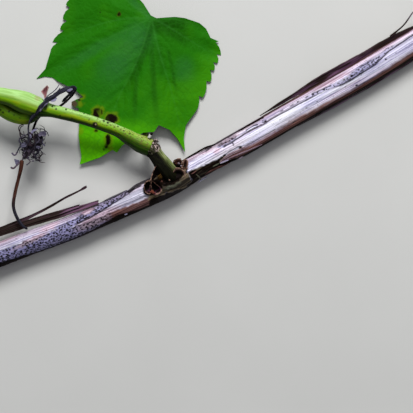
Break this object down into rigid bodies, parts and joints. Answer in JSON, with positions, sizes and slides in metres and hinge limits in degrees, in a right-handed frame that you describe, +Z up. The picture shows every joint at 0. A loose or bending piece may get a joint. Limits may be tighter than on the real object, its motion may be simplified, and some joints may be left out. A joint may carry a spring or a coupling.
{
  "type": "grapevine cane",
  "caption": "Cut length of an old grapevine cane with shredding bark, a green side shoot, a lobed leaf and a dried tendril, lying on a flat surface.",
  "frame": {"origin": "centre of the base of the bounding box, on the flat surface that the cut length lies on", "axes": "+X along the length from its left cut towards its right cut, +Y towards the leaf's base, +Z up towards the viewer"},
  "size_m": [0.2045, 0.1323, 0.0225],
  "materials": {
    "bark": "rough",
    "loose_bark": "rough",
    "green_bark": "satin",
    "brown_bark": "rough",
    "leaf_blade": "satin",
    "dry_scale": "rough",
    "bract": "rough",
    "tendril": "rough"
  },
  "bodies": {
    "root": {"cane": "bark", "bark_strip_left": "loose_bark", "bark_fibre_left": "loose_bark", "bark_flap_right": "loose_bark", "bark_fibre_right": "loose_bark", "bark_strip_under": "loose_bark", "shoot": "green_bark", "shoot_ring": "brown_bark", "shoot_foot": "brown_bark", "petiole_stub": "green_bark", "shoot_tip": "green_bark", "petiole": "green_bark", "leaf": "leaf_blade", "bud_husk": "dry_scale", "bud": "dry_scale", "bud_scale_left": "dry_scale", "bud_scale_right": "dry_scale", "bud_scale_upper": "dry_scale", "dry_bract": "bract", "tendril_stem": "tendril", "tendril_coil": "tendril"}
  },
  "joints": []
}
